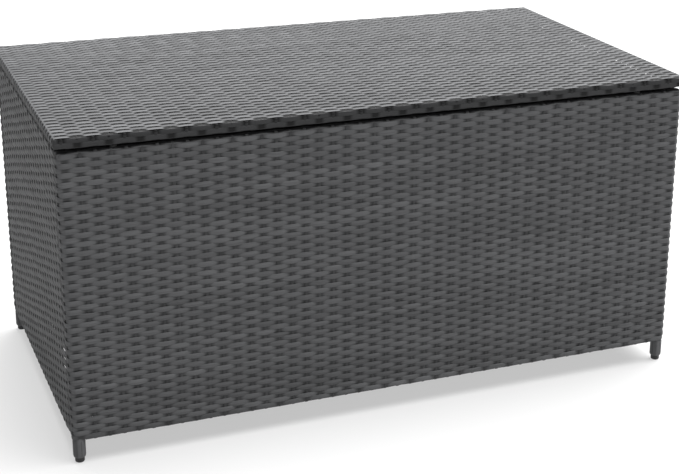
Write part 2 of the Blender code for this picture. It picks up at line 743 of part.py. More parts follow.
def strut_pin(name, pivot, side, plate_near, plate_far, materials):
    """A shouldered pin through the eye, riveted in its bracket's plate."""
    eye_face = EYE_THICKNESS / 2 + EYE_PLAY
    collar_end = plate_near - STRUT_X - FIT
    profile = [
        (-eye_face - PIN_CAP, 0),
        (-eye_face - PIN_CAP, PIN_CAP_RADIUS),
        (-eye_face - PIN_CAP + PIN_CAP_CHAMFER, PIN_COLLAR_RADIUS),
        (-eye_face, PIN_COLLAR_RADIUS),
        (-eye_face, STRUT_PIN_RADIUS),
        (eye_face, STRUT_PIN_RADIUS),
        (eye_face, PIN_COLLAR_RADIUS),
        (collar_end, PIN_COLLAR_RADIUS),
        (collar_end, RIVET_RADIUS),
        (plate_far - STRUT_X, RIVET_RADIUS),
        (plate_far - STRUT_X, 0),
    ]
    shape = along(turned(profile, segments=12), (0, 0, 0), (side, 0, 0))
    turned_piece(name, shape, materials["zinc"], pivot)


def strut_brackets(name, side, lid_axis, lid_pivot, body_pivot, materials):
    def x_range(low, high):
        return sorted((side * low, side * high))

    def pivot_hole(y, z):
        start, stop = side * (STRUT_X - HOLE_PAST), side * (INNER_X + HOLE_PAST)
        return cylinder((start, y, z), (stop, y, z), BRACKET_HOLE_RADIUS, 12)

    tip_y, tip_z = BRACKET_TIP
    lid_plate = (INNER_X - 2 * BRACKET_PLATE - FIT, INNER_X - BRACKET_PLATE - FIT)
    body_plate = (INNER_X - BRACKET_PLATE - FIT, INNER_X - FIT)

    flange_x0, flange_x1 = x_range(STRUT_X - BRACKET_FLANGE_INNER, lid_plate[1])
    y, z = lid_pivot
    half = LID_BRACKET_HALF
    top = LID_GAP / 2 - FIT
    outline = [(y - tip_y, z - tip_z), (y + tip_y, z - tip_z), (y + half, top), (y - half, top)]
    plate = extruded(outline, "X", *x_range(*lid_plate))
    flange = box((flange_x0, y - half, top - BRACKET_PLATE), (flange_x1, y + half, top))
    shapes, holes = [plate, flange], [pivot_hole(y, z)]
    piece(f"{name}_lid_bracket", shapes, materials["zinc"], holes, parent=lid_axis)

    y, z = body_pivot
    back = INNER_BACK_Y - BODY_BRACKET_CLEAR
    near, half = y + BODY_BRACKET_NEAR, BODY_BRACKET_HALF
    outline = [(y - tip_y, z - tip_z), (near, z - half), (back, z - half)]
    outline += [(back, z + half), (near, z + half), (y - tip_y, z + tip_z)]
    plate = extruded(outline, "X", *x_range(*body_plate))
    piece(f"{name}_body_bracket", [plate], materials["zinc"], [pivot_hole(y, z)])
    return lid_plate, body_plate


def add_empty(name, place, parent=None, turn=0.0):
    empty = bpy.data.objects.new(name, None)
    empty.location = place
    empty.rotation_euler = (turn, 0, 0)
    empty.parent = parent
    bpy.context.scene.collection.objects.link(empty)
    return empty


def gas_strut(column, side, lid_axis, materials):
    name = f"strut_{column}"
    body_y, body_z = HINGE_Y - BODY_PIVOT[0], HINGE_Z - BODY_PIVOT[1]
    forward, down = LID_PIVOT
    # The same point seen from the lid's sloping frame
    lid_y = -forward * math.cos(SLOPE) - down * math.sin(SLOPE)
    lid_z = forward * math.sin(SLOPE) - down * math.cos(SLOPE)
    lean = math.atan2(forward - BODY_PIVOT[0], BODY_PIVOT[1] - down)

    body_pivot = add_empty(f"{name}_body_pivot", (side * STRUT_X, body_y, body_z), None, lean)
    lid_pivot = add_empty(
        f"{name}_lid_pivot", (side * STRUT_X, lid_y, lid_z), lid_axis, lean + math.pi - SLOPE
    )
    plates = strut_brackets(name, side, lid_axis, (lid_y, lid_z), (body_y, body_z), materials)
    strut_pin(f"{name}_lid_pin", lid_pivot, side, *plates[0], materials)
    strut_pin(f"{name}_body_pin", body_pivot, side, *plates[1], materials)
    ring_and_neck(f"{name}_cylinder_eye", lid_pivot, materials)
    ring_and_neck(f"{name}_rod_eye", body_pivot, materials)
    gas_cylinder(f"{name}_cylinder", lid_pivot, materials)
    gas_rod(f"{name}_rod", body_pivot, materials)


def main():
    clear_scene()
    materials = {name: make_material(name) for name in COLOURS}
    lid_axis = add_empty("lid_hinge_axis", (0, HINGE_Y, HINGE_Z), None, SLOPE)
    fixed_axis = add_empty("hinge_fixed_axis", (0, HINGE_Y, HINGE_Z))

    long_panel("front", FRONT_Y, body_top(FRONT_Y), materials)
    back_top = body_top(INNER_BACK_Y)
    steel_y = BACK_Y - WRAP
    screw_holes = hinge_screw_holes(steel_y, HINGE_Z - SCREW_HEIGHT)
    recess_zs = (HINGE_Z - LEAF_REACH - RECESS_DROP, back_top + WRAP)
    recesses = hinge_recesses((steel_y - FIT, BACK_Y + WRAP), recess_zs)
    long_panel("back", BACK_Y, back_top, materials, screw_holes, recesses)
    side_panel("left", -1, materials)
    side_panel("right", 1, materials)
    corner_bolts(materials)
    base_frame(materials)
    base_bolts(materials)
    foot_glides(materials)
    liner_bag(materials)
    lid_bumpers(materials)
    lid(lid_axis, materials)
    hinges(fixed_axis, lid_axis, materials)
    gas_strut("left", -1, lid_axis, materials)
    gas_strut("right", 1, lid_axis, materials)


main()
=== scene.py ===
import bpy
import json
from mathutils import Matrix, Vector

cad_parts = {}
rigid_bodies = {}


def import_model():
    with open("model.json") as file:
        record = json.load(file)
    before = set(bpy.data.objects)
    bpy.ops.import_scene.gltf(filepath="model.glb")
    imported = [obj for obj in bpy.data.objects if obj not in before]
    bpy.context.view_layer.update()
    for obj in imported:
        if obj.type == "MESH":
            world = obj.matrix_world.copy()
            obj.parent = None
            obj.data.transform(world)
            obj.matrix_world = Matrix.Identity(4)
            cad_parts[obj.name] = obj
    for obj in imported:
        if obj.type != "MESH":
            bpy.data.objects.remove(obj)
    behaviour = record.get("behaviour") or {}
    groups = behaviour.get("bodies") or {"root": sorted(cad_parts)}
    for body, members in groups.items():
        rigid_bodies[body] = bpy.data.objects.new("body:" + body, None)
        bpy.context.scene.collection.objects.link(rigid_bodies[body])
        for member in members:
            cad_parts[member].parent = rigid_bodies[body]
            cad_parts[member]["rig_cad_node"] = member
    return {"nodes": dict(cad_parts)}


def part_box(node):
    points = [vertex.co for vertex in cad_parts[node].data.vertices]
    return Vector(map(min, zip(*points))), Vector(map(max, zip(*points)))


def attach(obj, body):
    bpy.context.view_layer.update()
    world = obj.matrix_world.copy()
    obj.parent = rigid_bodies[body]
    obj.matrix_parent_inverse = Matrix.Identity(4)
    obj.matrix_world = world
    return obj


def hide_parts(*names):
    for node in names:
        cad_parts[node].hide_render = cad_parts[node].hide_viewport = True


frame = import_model()

"""The looks of the woven deck storage box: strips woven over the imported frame, a sewn liner, and
materials for the CAD parts that stay. Lengths are in metres."""

import json
import math
from typing import NamedTuple

import bpy
import numpy as np
from mathutils import Matrix, Vector

# The startup scene's own objects aren't part of the frame
for startup in [o for o in bpy.data.objects if "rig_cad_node" not in o and o.type != "EMPTY"]:
    bpy.data.objects.remove(startup)
bpy.context.view_layer.update()

# Strips
STRIP_WIDTH = 0.0086        # a little more than a row, so the edges close up
STRIP_THICKNESS = 0.0012
STAKE = (0.0060, 0.0010)    # width and thickness of the strips across the rows
SECTION = ((0.0, -0.5), (0.5, -0.1), (0.3, 0.5), (-0.3, 0.5), (-0.5, -0.1))  # across, out
SHARP_ANGLE = math.radians(50)

# Weave
PANEL_ROW = 0.00795
LID_ROW = 0.00875
PANEL_SWING = 0.0013        # how far a strip goes over or under the middle of the weave
SIDE_SWING = 0.0009
LID_SWING = 0.00063
OVER_WIDENS = 0.10          # a strip lies flatter and shows wider where it goes over
SINK = 0.0004               # middle of the weave below the CAD's outer faces
INNER_SINK = 0.0017         # wraps that lie flat on the inner side of a tube
BEND_STEPS = 5
SIDE_BEND = 0.0025          # radius of the bends on the inner side of a tube
ANY_PHASE = (0, 6.28)       # where a random wave may start

rng = np.random.default_rng(7)

# Places that the frame gives
front_low, front_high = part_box("front_weave")
back_low, back_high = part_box("back_weave")
side_low, side_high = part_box("left_weave")
HALF_WIDTH = front_high.x
PANEL_BOTTOM = side_low.z
PANEL_DEPTH = front_high.y - front_low.y
LEG_BOTTOM = front_low.z
SLOPE = math.atan2(back_high.z - front_high.z, back_low.y - front_low.y)
pin_low, pin_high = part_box("hinge_left_pin")
hinge_axis = Vector((0, pin_low.y / 2 + pin_high.y / 2, pin_low.z / 2 + pin_high.z / 2))
lid_frame = Matrix.Translation(hinge_axis) @ Matrix.Rotation(SLOPE, 4, "X")


# Materials


def new_material(name):
    material = bpy.data.materials.new(name)
    material.use_nodes = True
    return material, material.node_tree, material.node_tree.nodes["Principled BSDF"]


def node(tree, kind, inputs=(), **settings):
    """A node with its settings, and its inputs set to values or linked from sockets."""
    made = tree.nodes.new(kind)
    for name, value in settings.items():
        setattr(made, name, value)
    for key, value in dict(inputs).items():
        if isinstance(value, bpy.types.NodeSocket):
            tree.links.new(value, made.inputs[key])
        else:
            made.inputs[key].default_value = value
    return made


def noise(tree, vector, scale, detail=3.0, roughness=0.5):
    inputs = {"Vector": vector, "Scale": scale, "Detail": detail, "Roughness": roughness}
    return node(tree, "ShaderNodeTexNoise", inputs).outputs["Fac"]


def mapped(tree, value, low, high, start=0.3, end=0.7):
    inputs = {"Value": value, "From Min": start, "From Max": end, "To Min": low, "To Max": high}
    return node(tree, "ShaderNodeMapRange", inputs).outputs["Result"]


def stretched(tree, vector, factors):
    inputs = {0: vector, 1: factors}
    return node(tree, "ShaderNodeVectorMath", inputs, operation="MULTIPLY").outputs["Vector"]


def product(tree, first, second):
    return node(tree, "ShaderNodeMath", {0: first, 1: second}, operation="MULTIPLY").outputs[0]


def shaded(tree, colour, factor):
    """The colour, times a factor that varies over the surface."""
    made = node(tree, "ShaderNodeVectorMath", {0: colour, "Scale": factor}, operation="SCALE")
    return made.outputs["Vector"]


def bump(tree, shader, height, distance, strength=1.0):
    made = node(tree, "ShaderNodeBump", {"Height": height, "Distance": distance, "Strength": strength})
    tree.links.new(made.outputs["Normal"], shader.inputs["Normal"])


def object_place(tree):
    return node(tree, "ShaderNodeTexCoord").outputs["Object"]


def coat(tree, shader, colour, tone, varied, rough):
    """The shader's colour, times its tone, and a roughness that follows a varied value."""
    tree.links.new(shaded(tree, colour, tone), shader.inputs["Base Color"])
    tree.links.new(mapped(tree, varied, *rough), shader.inputs["Roughness"])


DEEPEST_SHADE_TONE = 0.10             # share of its tone that a strip keeps under the deepest painted shade, where it lies lowest in the weave


def strip_material(name, colour, rough):
    """Extruded polyethylene strip: drawn lines along it, a tone that differs from strip to strip, and painted
    shade where it lies low in the weave.
    """
    material, tree, shader = new_material(name)
    strip = node(tree, "ShaderNodeAttribute", attribute_name="strip").outputs["Vector"]
    place = object_place(tree)
    lines = noise(tree, stretched(tree, strip, (9.0, 1500.0, 31.0)), 1.0, 4.0, 0.6)
    streaks = noise(tree, stretched(tree, strip, (4.0, 420.0, 17.0)), 1.0, 2.0)
    each = noise(tree, stretched(tree, strip, (1.5, 0.0, 91.7)), 1.0, 0.0)
    patches = noise(tree, place, 9.0, 2.0)
    tone = product(tree, mapped(tree, each, 0.86, 1.14), mapped(tree, streaks, 0.88, 1.12))
    tone = product(tree, tone, mapped(tree, lines, 0.90, 1.10))
    tone = product(tree, tone, mapped(tree, patches, 0.95, 1.05))
    # Painted shade: the strip's shade attribute darkens its tone, most where it lies low in the weave.
    low = node(tree, "ShaderNodeAttribute", attribute_name="painted_shade").outputs["Fac"]
    tone = product(tree, tone, mapped(tree, low, 1.0, DEEPEST_SHADE_TONE, 0.15, 0.85))
    coat(tree, shader, colour, tone, streaks, rough)
    shader.inputs["Specular IOR Level"].default_value = 0.12
    bump(tree, shader, lines, 0.00012, 0.8)
    return material


GRAIN_CONTRAST = 0.12


def grainy_material(name, colour, metallic, rough, grain, depth):
    """Powder coat, paint, plastic, rubber or thread: one colour with a fine grain in its surface."""
    material, tree, shader = new_material(name)
    place = object_place(tree)
    fine = noise(tree, place, grain, 3.0)
    wide = noise(tree, place, 22.0, 3.0)
    specks = mapped(tree, fine, 1 - GRAIN_CONTRAST / 2, 1 + GRAIN_CONTRAST / 2)
    tone = product(tree, specks, mapped(tree, wide, 1 - GRAIN_CONTRAST, 1 + GRAIN_CONTRAST))
    coat(tree, shader, colour, tone, wide, rough)
    shader.inputs["Metallic"].default_value = metallic
    bump(tree, shader, fine, depth)
    return material


def ground_metal(name, colour, rough, closeness, depth=0.00002):
    """Metal with fine lines, given how close to each other they lie along each axis."""
    material, tree, shader = new_material(name)
    place = object_place(tree)
    lines = noise(tree, stretched(tree, place, closeness), 1.0, 3.0)
    wide = noise(tree, place, 60.0, 3.0)
    tone = product(tree, mapped(tree, lines, 0.93, 1.07), mapped(tree, wide, 0.92, 1.06))
    coat(tree, shader, colour, tone, wide, rough)
    shader.inputs["Metallic"].default_value = 1.0
    bump(tree, shader, lines, depth)
    return material


def cloth_material(name, colour, thread=0.0011):
    """Coated polyester cloth in a plain weave."""
    material, tree, shader = new_material(name)
    place = object_place(tree)
    waves = []
    for direction in ("X", "Y", "Z"):
        inputs = {"Vector": place, "Scale": 0.05 / thread, "Distortion": 0.4}
        waves.append(node(tree, "ShaderNodeTexWave", inputs, bands_direction=direction).outputs["Fac"])
    threads = product(tree, waves[0], product(tree, waves[1], waves[2]))
    wide = noise(tree, place, 14.0, 4.0)
    fine = noise(tree, place, 900.0, 2.0)
    tone = product(tree, mapped(tree, wide, 0.88, 1.12), mapped(tree, fine, 0.9, 1.1))
    tone = product(tree, tone, mapped(tree, threads, 0.86, 1.1, 0.0, 0.6))
    coat(tree, shader, colour, tone, wide, (0.68, 0.86))
    shader.inputs["Sheen Weight"].default_value = 0.15
    bump(tree, shader, threads, 0.00025, 0.7)
    return material


# Lines that strips follow


def unit(vectors):
    return vectors / np.linalg.norm(vectors, axis=-1, keepdims=True)


def smooth_step(value, start, end):
    share = np.clip((value - start) / (end - start), 0, 1)
    return share * share * (3 - 2 * share)


def distances(points):
    """How far along a line each of its points lies."""
    return np.concatenate([[0], np.cumsum(np.linalg.norm(np.diff(points, axis=0), axis=1))])


class BentLine:
    """A flat line of straight runs with round right-angled bends, all to the right.

    Its normals point to the left, which is away from the tube that it goes round."""

    def __init__(self, corners, radii):
        corners = [np.array(corner, float) for corner in corners]
        points, normals = [corners[0]], []
        for before, corner, after, radius in zip(corners, corners[1:], corners[2:], radii):
            ahead = (corner - before) / np.linalg.norm(corner - before)
            turned = (after - corner) / np.linalg.norm(after - corner)
            left = np.array([-ahead[1], ahead[0]])
            if not normals:
                normals.append(left)
            centre = corner - radius * ahead + radius * turned
            for step in range(BEND_STEPS + 1):
                angle = math.pi / 2 * step / BEND_STEPS
                radial = left * math.cos(angle) + ahead * math.sin(angle)
                points.append(centre + radius * radial)
                normals.append(radial)
        points.append(corners[-1])
        normals.append(normals[-1])
        self.points, self.normals = np.array(points), np.array(normals)
        self.distance = distances(self.points)
        self.length = self.distance[-1]

    def at(self, distance):
        """(points, normals) at those distances from the line's start."""
        point = np.stack([np.interp(distance, self.distance, c) for c in self.points.T], axis=-1)
        normal = np.stack([np.interp(distance, self.distance, c) for c in self.normals.T], axis=-1)
        return point, unit(normal)


class StripMesh:
    """Collects strips, and makes one mesh of them."""

    def __init__(self):
        self.points, self.strips, self.painted_shade, self.quads, self.caps = [], [], [], [], []
        self.count, self.number = 0, 0

    def add(self, line, normals, width, thickness, painted_shade=0.0, bent=None):
        """One strip along a line, flat side along the normals. Width may vary along it.

        The shade painted onto it is 1 where it lies in the bottom of the weave, and 0 on its crests. Bent
        holds, for a strip that curves over an edge, where each point of its section goes: across and out."""
        along = unit(np.gradient(line, axis=0))
        across = unit(np.cross(normals, along))
        out = np.cross(along, across)
        section = np.array(SECTION)
        width = np.broadcast_to(width, len(line))[:, None, None]
        sideways = section[None, :, 0:1] * width
        outward = section[None, :, 1:2] * thickness
        if bent is not None:
            sideways = np.broadcast_to(bent[None, :, 0:1], sideways.shape)
            outward = outward + bent[None, :, 1:2]
        points = line[:, None] + across[:, None] * sideways + out[:, None] * outward
        facts = np.zeros_like(points)
        facts[..., 0] = distances(line)[:, None]
        facts[..., 1] = sideways[..., 0]
        facts[..., 2] = self.number
        ring = len(section)
        index = self.count + np.arange(len(line) * ring).reshape(-1, ring)
        turned = np.roll(index, -1, axis=1)
        quads = np.stack([index[:-1], turned[:-1], turned[1:], index[1:]], axis=-1)
        self.quads.append(quads.reshape(-1, 4))
        self.caps += [index[0, ::-1], index[-1]]
        self.points.append(points.reshape(-1, 3))
        self.strips.append(facts.reshape(-1, 3))
        self.painted_shade.append(np.repeat(np.broadcast_to(painted_shade, len(line)), len(section)))
        self.count += points.size // 3
        self.number += 1

    def make(self, name, matrix, material):
        quads, caps = np.concatenate(self.quads), np.array(self.caps)
        points = np.concatenate(self.points) @ np.array(matrix.to_3x3()).T + np.array(matrix.translation)
        corners = np.concatenate([quads.ravel(), caps.ravel()])
        totals = np.concatenate([np.full(len(quads), 4), np.full(len(caps), caps.shape[1])])
        starts = np.concatenate([[0], np.cumsum(totals)[:-1]])
        mesh = bpy.data.meshes.new(name)
        mesh.vertices.add(len(points))
        mesh.vertices.foreach_set("co", points.astype(np.float32).ravel())
        mesh.loops.add(len(corners))
        mesh.loops.foreach_set("vertex_index", corners.astype(np.int32))
        mesh.polygons.add(len(totals))
        mesh.polygons.foreach_set("loop_start", starts.astype(np.int32))
        mesh.update(calc_edges=True)
        strips = np.concatenate(self.strips).astype(np.float32)
        mesh.attributes.new("strip", "FLOAT_VECTOR", "POINT")
        mesh.attributes["strip"].data.foreach_set("vector", strips.ravel())
        painted_shade = np.concatenate(self.painted_shade).astype(np.float32)
        mesh.attributes.new("painted_shade", "FLOAT", "POINT")
        mesh.attributes["painted_shade"].data.foreach_set("value", painted_shade)
        mesh.polygons.foreach_set("use_smooth", np.ones(len(totals), bool))
        mesh.set_sharp_from_angle(angle=SHARP_ANGLE)
        mesh.materials.append(material)
        piece = bpy.data.objects.new(name, mesh)
        bpy.context.scene.collection.objects.link(piece)
        return piece


# Woven panels

SAMPLES = 5                 # points along a row between two stakes
LEAST_STEP = 0.0007         # points of a row that would lie nearer to each other are left out
END_ZONE = 0.03             # the stretch before a side edge where a row's points follow its bends
END_POINTS = 7              # further ones there, up to a little past the end stake
PAST_END_STAKE = 0.004
SETTLING = 0.006            # a row's swing dies out over this length before its flat end
END_SHADE = (-0.005, 0.001)  # painted shade comes onto a row's end over this stretch, from where it is flat
CALM_EDGE = 0.03            # the rows' slow waves die out over this height at the bottom and top
RIM_BEND = 0.0035           # bend at the ends of the rows on the bottom and top edges
PAST_SIDE = 0.002           # how far those rows go on past the side
SHORT_BY = 0.001            # gap before the end of the side's wraps, for rows that stop there
EDGE_DEPTH = 0.004          # the painted shade of the bottom edge starts at this depth
CALM_DEPTH = 0.003          # rows this near to the inner bends have no swing
LEAN_NEAR, LEAN_FAR = 0.09, 0.20    # a style's lean is given at these distances from the edges
LOW_GAIN = 2.5              # how fast the painted shade grows with the swing
STAKE_END = 0.024           # a stake ends this far before its line does
STAKE_POINTS = 24
END_STAKE_POINTS = 12
LEAST_STAKE_STEP = 0.001
RECESS_STEP = 0.0005        # step of the search for a recess along a stake
RECESS_GAP = 0.002
WAVES = 6                   # slow waves in a panel's rows: per metre along and across, and height
WAVES_ALONG, WAVES_ACROSS, WAVE_SIZE = (8, 40), (10, 60), (0.00012, 0.0003)
STRENGTH = (0.80, 1.12)     # random share of the swing at a crossing
SHIFT = 0.00022             # random shift of a row at a crossing
WIDER = (0.0, 0.03)         # random extra width of a row


class Style(NamedTuple):
    """How a panel is woven, and the shade painted onto its strips: 0 on a crest, up to 1 in the bottom of the
    weave.
    """

    row: float = PANEL_ROW
    width: float = STRIP_WIDTH / PANEL_ROW  # width of a strip, in rows
    stake: tuple = STAKE
    swing: float = PANEL_SWING
    rim_swing: tuple = (0.15, 0.4)          # share of the swing on the bottom edge and on the top one
    twist: float = 0.05                     # how unevenly the rows tilt
    lean: tuple = (0.0, 0.0, 0.0, 0.0)      # how much they all tilt, from the bottom to the top
    lowest: float = 0.55                    # painted shade on a row where it goes under
    crest: float = 0.21                     # painted shade on a row where it goes over
    dash: float = 1.0                       # above 1, a row's painted shade stays at its deepest for longer
    edge_painted_shade: float = 0.0               # least painted shade on the rows on the bottom edge
    stake_dark: tuple = (0.6, 0.95)         # how far out a stake faces where its painted shade starts and ends


class Panel:
    """A woven panel in its own axes: a along its rows, h across them, and d outward.

    The weave's middle goes round the panel's four edges: the rows' ends round its short sides (belt),
    and the rows' places round its bottom and top (profile). d is 0 on the CAD's outer face.
    The bends are those of the short sides and of the bottom and top. The wraps go in by end_run
    and inner_run on the inner side. Hinge leaves lie in the recesses, given along a."""

    def __init__(self, matrix, half, low, high, depth, stakes, bends, style=Style(), tilt=0.0,
                 end_run=0.021, inner_run=0.020, short_low=True, recesses=(), in_recess=None):
        self.matrix, self.half, self.low, self.high, self.depth = matrix, half, low, high, depth
        self.style, self.tilt, self.end_run, self.short_low = style, tilt, end_run, short_low
        self.recesses, self.in_recess = recesses, in_recess
        end_bend, edge_bend = bends
        inner = INNER_SINK - depth
        side, bottom, top = half - SINK, low + SINK, high - SINK
        belt = [(end_run - half, inner), (-side, inner), (-side, -SINK)]
        belt += [(side, -SINK), (side, inner), (half - end_run, inner)]
        profile = [(low + inner_run, inner), (bottom, inner), (bottom, -SINK)]
        profile += [(top, -SINK), (top, inner), (high - inner_run, inner)]
        self.belt = BentLine(belt, (SIDE_BEND, end_bend, end_bend, SIDE_BEND))
        self.profile = BentLine(profile, (SIDE_BEND, edge_bend, edge_bend, SIDE_BEND))
        self.face = (bottom + edge_bend, top - edge_bend)
        self.middle = self.belt.length / 2
        pitch = 2 * half / stakes
        self.stakes = (np.arange(stakes) - (stakes - 1) / 2) * pitch
        self.end_stake = side + (math.pi / 2 - 2) * end_bend + (-SINK - inner) / 2
        end = self.end_stake
        self.stake_places = np.array([-end - pitch, -end, *self.stakes, end, end + pitch])
        self.flat_from = self.end_stake + (-SINK - inner) / 2 - SIDE_BEND
        self.rows = round(self.profile.length / style.row)
        self.row = self.profile.length / self.rows
        self.wider = rng.uniform(*WIDER, self.rows)
        self.waves = [
            [rng.uniform(*span) for span in (WAVES_ALONG, WAVES_ACROSS, ANY_PHASE, WAVE_SIZE)]
            for _ in range(WAVES)
        ]
        crossings = (self.rows, len(self.stake_places))
        self.strength = rng.uniform(*STRENGTH, crossings)
        self.shift = rng.normal(0, SHIFT, crossings)
        self.twist = rng.normal(0, style.twist, crossings)

    def drift(self, a, h):
        """Slow waves in the rows, which die out at the panel's edges."""
        total = sum(size * np.sin(fa * a + fh * h + start) for fa, fh, start, size in self.waves)
        from_bottom = smooth_step(h, self.low, self.low + CALM_EDGE)
        return total * (from_bottom * (1 - smooth_step(h, self.high - CALM_EDGE, self.high)))

    def leaning(self, a, h):
        """Rows fan out where the top edge isn't level with the bottom."""
        share = np.clip((h - self.low) / (self.high - self.low), 0, 1)
        return h + self.tilt * a * share

    def row_samples(self, first, last):
        """Places along a row: some between each two stakes, and more round the bends."""
        steps = np.arange(0, (len(self.stake_places) - 1) * SAMPLES + 1) / SAMPLES
        even = np.interp(steps, np.arange(len(self.stake_places)), self.stake_places)
        bends = self.belt.distance - self.middle
        straight = self.half - END_ZONE
        further = np.linspace(straight, self.end_stake + PAST_END_STAKE, END_POINTS)
        places = [even[np.abs(even) < straight], bends[np.abs(bends) >= straight], further, -further]
        places = np.concatenate(places)
        places = places[(places > first) & (places < last)]
        found = np.unique(np.round(np.concatenate([places, [first, last]]), 6))
        kept = np.concatenate([[True], np.diff(found) > LEAST_STEP])
        kept[-1] = True
        return found[kept]

    def pieces_of(self, last, cut):
        """The stretches of a row, which the recesses may cut."""
        stretches, start = [], -last
        for low, high in sorted(self.recesses) if cut else ():
            stretches.append((start, low))
            start = high
        stretches.append((start, last))
        return stretches

    def bent_section(self, v, width):
        """Where the points of a row's section go, across and out, if the row follows the profile."""
        (middle,), (normal,) = self.profile.at(np.array([v]))
        points, _ = self.profile.at(v + np.array(SECTION)[:, 0] * width)
        away = points - middle
        return np.column_stack([away @ (normal[1], -normal[0]), away @ normal])

    def on_face(self, u, h):
        """Line, normals and swing of a row on the face, whose ends go round the short sides."""
        belt, out = self.belt.at(u + self.middle)
        a, d = belt.T
        line = np.stack([a, self.leaning(a, h + self.drift(a, h)), d], axis=-1)
        normals = np.stack([out[:, 0], np.zeros(len(u)), out[:, 1]], axis=-1)
        settled = smooth_step(np.abs(u), self.flat_from - SETTLING, self.flat_from)
        return line, normals, self.style.swing * (1 - settled)

    def on_rim(self, u, place, normal, swing):
        """The same for a row on an edge or on the inner side, whose ends bend in."""
        straight = self.half - SINK - RIM_BEND
        over = np.clip(np.abs(u) - straight, 0, None) / RIM_BEND
        a = np.sign(u) * np.where(over > 0, straight + RIM_BEND * np.sin(over), np.abs(u))
        line = np.stack([a, np.full(len(u), place[0]), np.full(len(u), place[1])], axis=-1)
        line -= np.array([0.0, *normal]) * (RIM_BEND * (1 - np.cos(over)))[:, None]
        line[:, 1] = self.leaning(a, line[:, 1])
        out = np.stack([np.sign(u) * np.sin(over), *(normal[:, None] * np.cos(over))], axis=-1)
        return line, unit(out), np.full(len(u), swing)

    # Shade painted onto a row: deep where it goes under, and over the ends of a face row that go round the
    # corners.
    def painted_shade(self, u, wave, swing, face):
        style = self.style
        under = style.lowest * np.clip(-style.dash * wave, 0, 1)
        low = np.maximum(style.crest, under * np.clip(LOW_GAIN * swing / style.swing, 0, 1))
        if face:
            start, end = (self.flat_from + offset for offset in END_SHADE)
            low = np.maximum(low, smooth_step(np.abs(u), start, end))
        return low

    def add_row(self, strips, number):
        style, v = self.style, (number + 0.5) * self.row
        place, normal = (x[0] for x in self.profile.at(np.array([v])))
        h, d = place
        face = self.face[0] <= h <= self.face[1] and d > -2 * SINK
        inner_bend = INNER_SINK - self.depth + SIDE_BEND
        inside = d < inner_bend - SIDE_BEND / 2
        below = h < (self.low + self.high) / 2
        if face:
            last = self.middle
        elif inside or (below and self.short_low):
            last = self.half - self.end_run - SHORT_BY
        else:
            last = self.half - SINK + PAST_SIDE
        rim_swing = 0.0 if d < inner_bend + CALM_DEPTH else style.swing * style.rim_swing[0 if below else 1]
        lean_places = (self.low + LEAN_NEAR, self.low + LEAN_FAR, self.high - LEAN_FAR, self.high - LEAN_NEAR)
        lean = np.interp(h, lean_places, style.lean)
        bent = None if face else self.bent_section(v, style.width * self.row)
        crossings = np.arange(len(self.stake_places))
        cut = bool(self.recesses) and self.in_recess(h, d)
        for start, stop in self.pieces_of(last, cut):
            u = self.row_samples(start, stop)
            line, normals, swing = self.on_face(u, h) if face else self.on_rim(u, place, normal, rim_swing)
            phase = np.interp(u, self.stake_places, crossings)
            draws = (self.strength, self.shift, self.twist)
            strength, shift, twist = (np.interp(phase, crossings, drawn[number]) for drawn in draws)
            wave = np.cos(math.pi * (phase + number))
            line = line + normals * (wave * swing * strength)[:, None]
            line[:, 1] += shift * (swing > 0)
            normals[:, 1] += (lean + twist) * (swing > 0)
            wider = OVER_WIDENS * np.clip(wave, 0, None) * (swing > style.swing / 2)
            width = style.width * self.row * (1 + wider + self.wider[number])
            # Rows on the bottom edge get painted shade where they go under, and at least the style's edge
            # shade.
            if not face and below and d < -EDGE_DEPTH:
                low = np.maximum(style.lowest * np.clip(-wave, 0, 1), style.edge_painted_shade)
            else:
                low = self.painted_shade(u, wave, swing, face)
            strips.add(line, unit(normals), width, STRIP_THICKNESS, low, bent)

    def weavers(self):
        strips = StripMesh()
        for number in range(self.rows):
            self.add_row(strips, number)
        return strips

    def stake_strips(self):
        """The strips across the rows: each goes round the top and the bottom of the panel."""
        strips = StripMesh()
        start, stop = STAKE_END, self.profile.length - STAKE_END
        if self.recesses:
            tried = np.arange(start, stop, RECESS_STEP)
            recess = next(v for v in tried if self.in_recess(*self.profile.at(v)[0])) - RECESS_GAP
        places = np.concatenate([self.profile.distance, np.linspace(start, stop, STAKE_POINTS)])
        places = np.unique(np.round(places, 6))
        for a in self.stakes:
            if self.short_low and abs(a) > self.half - self.end_run:
                continue
            last = recess if any(low < a < high for low, high in self.recesses) else stop
            v = places[(places >= start) & (places < last - LEAST_STAKE_STEP)]
            point, normal = self.profile.at(np.append(v, last))
            h = self.leaning(a, point[:, 0])
            normals = np.stack([np.zeros(len(h)), normal[:, 0], normal[:, 1]], axis=-1)
            line = np.stack([np.full(len(h), a), h, point[:, 1]], axis=-1)
            # Painted shade on a stake, by how far out it faces.
            dark = self.style.lowest * smooth_step(normal[:, 1], *self.style.stake_dark)
            strips.add(line, normals, *self.style.stake, dark)
        for side in (-1, 1):
            place = self.middle + side * self.end_stake
            (a, d), (normal_a, normal_d) = (x[0] for x in self.belt.at(np.array([place])))
            h = np.linspace(*self.face, END_STAKE_POINTS)
            line = np.stack([np.full(len(h), a), self.leaning(a, h), np.full(len(h), d)], axis=-1)
            normals = np.broadcast_to([normal_a, 0.0, normal_d], line.shape)
            # The end stakes get the deepest painted shade.
            strips.add(line, normals, *STAKE, 1.0)
        return strips

    def build(self, node_name, body, material):
        rows = self.weavers().make(node_name + "_rows", self.matrix, material)
        stakes = self.stake_strips().make(node_name + "_stakes", self.matrix, material)
        for piece in (rows, stakes):
            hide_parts(node_name)
            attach(piece, body)


def panel_matrix(origin, along, out):
    """From a panel's axes (a, h, d) to the frame: h is up."""
    return Matrix.Translation(origin) @ Matrix((along, (0, 0, 1), out)).transposed().to_4x4()


